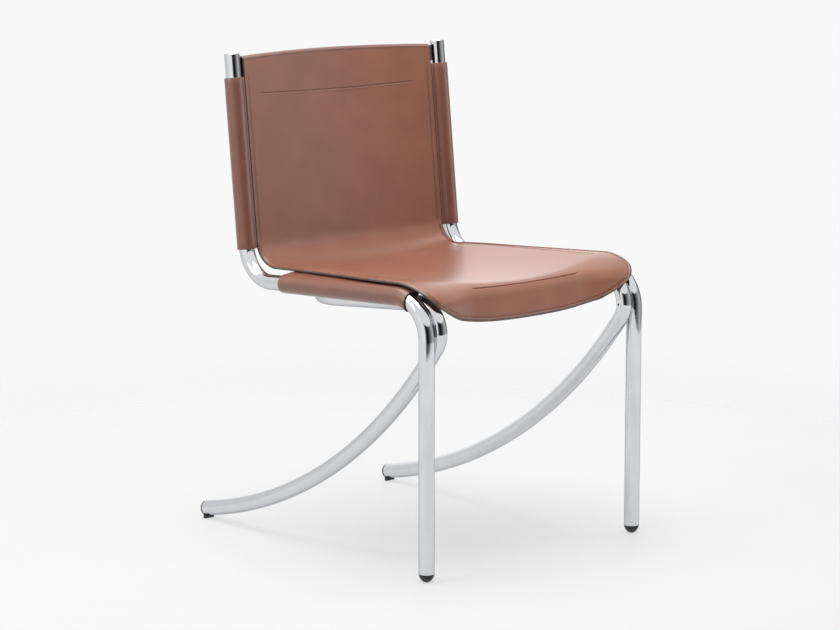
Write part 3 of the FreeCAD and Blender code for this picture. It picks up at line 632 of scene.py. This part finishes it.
# %% The sheet and its under layers
GROOVE = 0.3 * MM
GROOVE_HALF = 0.9 * MM
LIP = 1.6 * MM
LIP_IN = 5.6 * MM
ROUND_DROP = 1.2 * MM
PAINT_WIDE = 4.2 * MM
PAINT_SIDE = 2.5 * MM
PAINT_NARROWS = (0.395, 0.42)
ROLL_ENDS = (0.50, 0.53)
CORNER_FADE = (3 * MM, 14 * MM)
# Painted shade on the top of the fold over the bar: above this height, up-facing leather is darkened by this
# much.
FOLD_Z = 740 * MM
FOLD_SHADE = 0.7
UNDER_INSET = 0.985


def near_lines(lines):
    """Search tree that tells how near a place is to some lines."""
    spots = [a.lerp(b, t) for line in lines for a, b in zip(line, line[1:]) for t in even(0.0, 0.8, 4)]
    tree = KDTree(len(spots))
    for i, spot in enumerate(spots):
        tree.insert(spot, i)
    tree.balance()
    return tree


def roll_edge(mesh):
    """Round the sheet's edge off, and let the leather stand up a little between it and its sewing."""
    tree = near_lines([CUT_EDGE])
    corners = [sling_point(share, FLAP) for share in (-1, 1)]
    mesh.normal_update()
    for vertex in mesh.verts:
        away = tree.find(vertex.co)[2]
        if away < 2 * EDGE_ROW:
            lip = LIP * math.exp(-((away - LIP_IN) / GROOVE_HALF) ** 2)
            drop = ROUND_DROP * (1 - ease(0.0, 1.15 * PAINT_WIDE, away))
            fade = 1 - ease(*ROLL_ENDS, vertex.co.z)
            fade *= ease(*CORNER_FADE, min((vertex.co - corner).length for corner in corners))
            vertex.co += vertex.normal * (lip - drop) * fade


def press_rows_and_paint_shade(mesh, lines):
    """Press a shallow groove under each row of sewing, and paint shade into it and onto the up-facing top of
    the fold.
    """
    tree = near_lines(lines)
    mesh.normal_update()
    groove_and_fold_shade = mesh.verts.layers.float.new("groove_and_fold_shade")
    for vertex in mesh.verts:
        away = tree.find(vertex.co)[2]
        near = math.exp(-(away / GROOVE_HALF) ** 2)
        # Painted shade on the fold over the top bar: darker where the leather faces up.
        if vertex.co.z > FOLD_Z:
            vertex[groove_and_fold_shade] = FOLD_SHADE * ease(0.3, 0.7, vertex.normal.z)
        # Painted shade in the groove, strongest on its line.
        vertex[groove_and_fold_shade] = max(vertex[groove_and_fold_shade], near)
        vertex.co -= vertex.normal * GROOVE * near


def paint_edge(mesh, band):
    """Give the edge's own material to the faces by the cut, in a wider band under the flap."""
    tree = near_lines([CUT_EDGE])
    for face in mesh.faces:
        spot = face.calc_center_median()
        wide = mix(PAINT_WIDE, PAINT_SIDE, ease(*PAINT_NARROWS, spot.z))
        by_cut = any(v.is_boundary for v in face.verts)
        face.material_index = int(by_cut or (band and tree.find(spot)[2] < wide))


def layer_of_leather(name, rows, depth, face, lines=(), inset=1.0):
    mesh = bent_grid(COLUMNS, rows, lambda share, stage: sling_point(share * inset, stage, depth))
    for share in (0.0, 0.9):
        path = [sling_point(share, stage, depth) for stage in rows]
        steps = [(b - a).length for a, b in zip(path, path[1:])]
        print("%s: %.3f m long at share %.1f" % (name, sum(steps), share))
    if lines:
        roll_edge(mesh)
        press_rows_and_paint_shade(mesh, lines)
    paint_edge(mesh, bool(lines))
    piece = piece_from(mesh, name, [face, EDGE_PAINT])
    return give_thickness(piece, LEATHER * MM, 0.7 * MM)


SHEET = layer_of_leather("leather_sheet_sewn", ROWS, 0.0, SADDLE,
                         ROW_LINES + [seam_row(SEAM_FRONT)])
LINING_ROWS = [r for r in ROWS if SEAM_FRONT["stage"] <= r <= SEAM_BACK["stage"]]
HEM_ROWS = [r for r in ROWS if r < SEAM_FRONT["stage"] - 0.002]
UNDER = layer_of_leather("leather_lining_sewn", LINING_ROWS, LAYER_STEP, LINING,
                         inset=UNDER_INSET)
FLAP_HEM = layer_of_leather("flap_hem_sewn", HEM_ROWS, LAYER_STEP, LINING,
                            inset=UNDER_INSET)
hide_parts("leather_sheet", "top_hem")
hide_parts("leather_lining")
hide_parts("front_hem")

# %% [markdown]
# The sleeves are narrow strips of the same leather, folded round the tubes with both ends sewn
# behind the sheet's edge. A strip is drawn as its cross-section, a ring that closes into a flat
# tail, and that section is then carried along the tube. A smooth curve through a few points
# gives the section, since leather never folds sharply.

# %% Sleeves round the posts and the seat rails
SLEEVE_LEATHER = 2.0
SLEEVE_RING = 14.2
RAIL_X = 231.7
RAIL_SPLAY = 0.0102
BEND_RADIUS = 62.0
BEND_CENTRE = Vector((62.0, 373.4))
SLANT = 9.0


def smooth_line(points, steps):
    """Smooth curve through 2-D points: each step leans on the points before and after it."""
    spots = [Vector(p) for p in points]
    spots = [2 * spots[0] - spots[1]] + spots + [2 * spots[-1] - spots[-2]]
    line = []
    for a, b, c, d in zip(spots, spots[1:], spots[2:], spots[3:]):
        for i in range(steps):
            t = i / steps
            line.append(b + (c - a) * (t / 2) + (2 * a - 5 * b + 4 * c - d) * (t * t / 2)
                        + (3 * b - a - 3 * c + d) * (t ** 3 / 2))
    return line + [spots[-2]]


def ring(first, last, steps):
    return [Vector((math.cos(a), math.sin(a))) * SLEEVE_RING
            for a in (math.radians(d) for d in even(first, last, steps))]


POST_SECTION = (smooth_line([(28, 2.8), (22.5, 2.8), (20.3, 2.1), (19.4, 0.0),
                             (18.9, -2.3), (17.5, -3.3), (15.5, -3.0)], 4)
                + ring(-17, -315, 36) + smooth_line([(12.6, 7.9), (16.5, 5.6), (22, 4.9), (28, 4.9)], 4))
RAIL_SECTION = (smooth_line([(26, 16.8), (18, 16.4), (9, 15.2)], 4) + ring(90, 385, 40)
                + smooth_line([(14.2, 9.2), (18.4, 13.0), (26, 14.7)], 4))


def sleeve(name, section, stations, place, node):
    """Carry a section along its stations; the strip is walled from its middle outwards."""
    mesh = bent_grid(range(len(section)), stations, lambda i, station: place(section[i], station) * MM)
    piece = piece_from(mesh, name, [SLEEVE_PAINTED_DARKER, EDGE_PAINT])
    give_thickness(piece, SLEEVE_LEATHER * MM, 0.5 * MM)
    piece.modifiers["wall"].offset = 0.0
    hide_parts(node)
    return piece


def on_post(side, section, z):
    """Place in mm of a section point (inboard, back) at a height on the post."""
    axis = CORNER_POINT + POST * ((z - CORNER_POINT.y) / POST.y) + POST_BACK * section.y
    x = RAIL_X - RAIL_SPLAY * CORNER_Y - section.x
    return Vector((side * x, axis.x + FRONT_LEGS_Y, axis.y))


def on_rail(side, section, y):
    """Place in mm of a section point (inboard, up) along the rail and into its front bend."""
    start = BEND_CENTRE + RAIL_UP * BEND_RADIUS
    y -= SLANT * (1 - ease(39.0, 95.0, y)) * (1 - section.y / SLEEVE_RING) / 2
    x = RAIL_X - RAIL_SPLAY * max(y, 0.0) - section.x
    if y > start.x:
        spot = Vector((y, RAIL_HEIGHT - y * math.tan(RAIL_FALL))) + RAIL_UP * section.y
    else:
        angle = math.pi / 2 - RAIL_FALL + (start.x - y) / BEND_RADIUS
        spot = BEND_CENTRE + heading(angle) * (BEND_RADIUS + section.y)
    return Vector((side * x, spot.x + FRONT_LEGS_Y, spot.y))


for side_name, side in SIDES.items():
    sleeve("post_sleeve_" + side_name, POST_SECTION, even(SLEEVE_LOW_Z, SLEEVE_HIGH_Z, 24),
                          lambda p, z: on_post(side, p, z), "back_sleeve_" + side_name)
    sleeve("rail_sleeve_" + side_name, RAIL_SECTION, even(39.0, 332.0, 40),
                          lambda p, y: on_rail(side, p, y), "seat_sleeve_" + side_name)

# %% [markdown]
# Each stitch is one short bead of thread that lies in the groove and stands a little proud of it.
# The places along a row are spaced evenly, and every bead is turned along its row and set on the nearest
# point of the sheet. A low, closed sphere of two dozen faces is enough for so small a thing. The thread is a
# little lighter than the leather and lies in the painted shade of its own groove.

# %% The stitches
STITCH = 3.1 * MM
STITCH_PITCH = 5.0 * MM
THREAD_WIDE = 1.2 * MM
SKIN = BVHTree.FromPolygons([v.co for v in SHEET.data.vertices], [p.vertices[:] for p in SHEET.data.polygons])


def evenly_spaced(line, pitch):
    """Places along a line of points, a fixed pitch apart, each with its direction."""
    places, walked, target = [], 0.0, pitch / 2
    for a, b in zip(line, line[1:]):
        long = (b - a).length
        while long > 0 and walked + long >= target:
            places.append((a.lerp(b, (target - walked) / long), (b - a).normalized()))
            target += pitch
        walked += long
    return places


beads = bmesh.new()
for line in ROW_LINES + SEAT_LINES:
    for spot, along in evenly_spaced(line, STITCH_PITCH):
        on_skin, normal = SKIN.find_nearest(spot)[:2]
        side_way = normal.cross(along).normalized()
        turn = Matrix((along, side_way, normal)).transposed().to_4x4()
        scale = Matrix.Diagonal((STITCH / 2, THREAD_WIDE / 2, THREAD_WIDE / 2, 1))
        seat = Matrix.Translation(on_skin + normal * THREAD_WIDE * 0.25)
        bmesh.ops.create_uvsphere(beads, u_segments=6, v_segments=4, radius=1.0, matrix=seat @ turn @ scale)
print("stitches:", len(beads.verts) // 20)
STITCHES = piece_from(beads, "stitch_rows", [THREAD])

# %% [markdown]
# The sling was cut as one long strip, as wide as it is over the front of the tubes and as long as its longest
# path from the flap to the rear hem, which runs near the long edge. Each layer prints its length down the
# middle and near its edge as it is built.

# %% [markdown]
# The photograph was taken in a white studio, and chrome shows nothing but what stands round it.
# The dark stripe down the tubes is the dark side of the room, so it is built here as a curved
# wall that only reflections see. A bright panel behind the chair lays the pale sheen on the seat.
# One weak lamp close to the floor lights only the sheet and its stitches, under the knees.

# %% Studio: world, floor, cards and lights
bpy.context.scene.view_settings.view_transform = "Standard"
CAMERA_AT = Vector((-3.1566, -3.3580, 1.1229))
TO_CAMERA = Vector((-0.687, -0.727, 0.0))
TO_RIGHT = Vector((0.728, -0.686, 0.0))


def glow(name, strength):
    """A light-giving material, with its tree and its emission node."""
    material = bpy.data.materials.new(name)
    material.use_nodes = True
    tree = material.node_tree
    tree.nodes.remove(tree.nodes["Principled BSDF"])
    lamp = add(tree, "ShaderNodeEmission", {"Strength": strength})
    join(tree, lamp.outputs[0], tree.nodes["Material Output"].inputs["Surface"])
    return material, tree, lamp


def stage_piece(mesh, name, material):
    data = bpy.data.meshes.new(name)
    mesh.to_mesh(data)
    mesh.free()
    thing = bpy.data.objects.new(name, data)
    COLLECTION.objects.link(thing)
    data.materials.append(material)
    return thing


def round_wall(name, radius, first, last, low, high, material):
    """Upright wall on a circle round the chair, by angles from the camera's side to its right."""
    def place(angle, z):
        a = math.radians(angle)
        return TO_CAMERA * (math.cos(a) * radius) + TO_RIGHT * (math.sin(a) * radius) + Vector((0, 0, z))
    wall = stage_piece(bent_grid(even(first, last, 120), even(low, high, 4), place), name, material)
    for ray in ("visible_camera", "visible_diffuse", "visible_shadow", "visible_transmission"):
        setattr(wall, ray, False)
    return wall


ROOM_RADIUS = 2.3
ROOM = ((-180, 1.3), (-152, 1.3), (-146, 0.95), (-126, 0.9), (-105, 0.85), (-90, 0.9), (-78, 0.95),
        (-28, 1.1), (-14, 1.0), (-10, 0.62), (-4, 0.25), (1, 0.03), (18, 0.006), (28, 0.02),
        (34, 0.065), (50, 0.17), (67, 0.35), (86, 0.58), (98, 0.55), (110, 0.41), (130, 0.16),
        (144, 0.10), (149, 0.3), (154, 1.3), (180, 1.3))
room, room_tree, room_lamp = glow("room_round_the_chair", 1.0)
where = add(room_tree, "ShaderNodeTexCoord")
parts = []
for direction in (TO_RIGHT, TO_CAMERA):
    part = add(room_tree, "ShaderNodeVectorMath", operation="DOT_PRODUCT")
    join(room_tree, where.outputs["Object"], part.inputs[0])
    part.inputs[1].default_value = direction
    parts.append(part.outputs["Value"])
angle = add(room_tree, "ShaderNodeMath", operation="ARCTAN2")
for source, target in zip(parts, angle.inputs):
    join(room_tree, source, target)
turn_share = add(room_tree, "ShaderNodeMapRange", {"From Min": -math.pi, "From Max": math.pi})
join(room_tree, angle.outputs[0], turn_share.inputs["Value"])
shades = ramp(room_tree, turn_share.outputs["Result"], [((d + 180) / 360, level) for d, level in ROOM])
join(room_tree, shades.outputs["Color"], room_lamp.inputs["Color"])
round_wall("room_wall", ROOM_RADIUS, -180, 180, 0.0, 1.3, room)
round_wall("sheen_panel", ROOM_RADIUS - 0.1, 158, 204, 0.42, 0.8, glow("sheen", 1.6)[0])

world = bpy.data.worlds.new("studio")
bpy.context.scene.world = world
world.use_nodes = True
sky = world.node_tree
shade = sky.nodes["Background"]
shade.inputs["Color"].default_value = (1.0, 1.0, 1.0, 1.0)
sees = add(sky, "ShaderNodeLightPath")
both = add(sky, "ShaderNodeMix", data_type="FLOAT")
join(sky, sees.outputs["Is Camera Ray"], both.inputs["Factor"])
both.inputs["B"].default_value = 0.939
unseen = add(sky, "ShaderNodeMix", data_type="FLOAT")
join(sky, sees.outputs["Is Glossy Ray"], unseen.inputs["Factor"])
unseen.inputs["A"].default_value = 0.42
unseen.inputs["B"].default_value = 1.0
join(sky, unseen.outputs["Result"], both.inputs["A"])
join(sky, both.outputs["Result"], shade.inputs["Strength"])

floor_mesh = bmesh.new()
bmesh.ops.create_circle(floor_mesh, cap_ends=True, segments=96, radius=6.0)
floor_material, floor_tree, floor_shader, floor_place = new_material(
    "pale_floor", {"Roughness": 0.55, "Specular IOR Level": 0.2})
far = add(floor_tree, "ShaderNodeVectorMath", operation="LENGTH")
join(floor_tree, floor_place, far.inputs[0])
fade = add(floor_tree, "ShaderNodeMapRange", {"From Min": 0.9, "From Max": 1.9, "To Min": 0.6},
           interpolation_type="SMOOTHSTEP")
join(floor_tree, far.outputs["Value"], fade.inputs["Value"])
clear = add(floor_tree, "ShaderNodeBsdfTransparent")
blend = add(floor_tree, "ShaderNodeMixShader")
join(floor_tree, fade.outputs["Result"], blend.inputs["Fac"])
join(floor_tree, floor_shader.outputs[0], blend.inputs[1])
join(floor_tree, clear.outputs[0], blend.inputs[2])
join(floor_tree, blend.outputs[0], floor_tree.nodes["Material Output"].inputs["Surface"])
cloud = add(floor_tree, "ShaderNodeTexNoise", {"Scale": 3.0, "Detail": 2.0})
join(floor_tree, floor_place, cloud.inputs["Vector"])
tone = ramp(floor_tree, cloud.outputs["Fac"], [(0.3, 0.67), (0.7, 0.69)])
join(floor_tree, tone.outputs["Color"], floor_shader.inputs["Base Color"])
FLOOR = stage_piece(floor_mesh, "floor", floor_material)

LIGHTS = (("left_softbox", (-2.5, 0.8, 1.9), 1.4, 26.0), ("right_softbox", (2.4, -1.35, 0.95), 1.0, 14.0),
          ("top_softbox", (-0.1, 0.15, 2.8), 2.2, 72.0), ("low_front_lamp", (0.1, -0.95, 0.12), 0.4, 2.0))
for name, spot, size, power in LIGHTS:
    lamp = bpy.data.lights.new(name, "AREA")
    lamp.energy = power
    lamp.size = size
    light = bpy.data.objects.new(name, lamp)
    light.location = spot
    light.rotation_euler = (Vector((0, 0, 0.5)) - Vector(spot)).to_track_quat("-Z", "Y").to_euler()
    COLLECTION.objects.link(light)
lit_leather = bpy.data.collections.new("lit_by_the_low_lamp")
for piece in (SHEET, STITCHES):
    lit_leather.objects.link(piece)
light.light_linking.receiver_collection = lit_leather
light.visible_camera = False
light.visible_glossy = False

# %% [markdown]
# A long lens from about four and a half metres gives the photograph's calm perspective. The
# camera looks down a little and stands at the front left corner of the chair.

# %% Camera
view = bpy.data.cameras.new("photograph_view")
view.lens = 122.43
view.sensor_width = 36.0
view.clip_end = 60.0
camera = bpy.data.objects.new("photograph_view", view)
camera.location = CAMERA_AT
camera.rotation_euler = (math.radians(90 - 9.468), 0.0, math.radians(-43.369))
COLLECTION.objects.link(camera)
bpy.context.scene.camera = camera
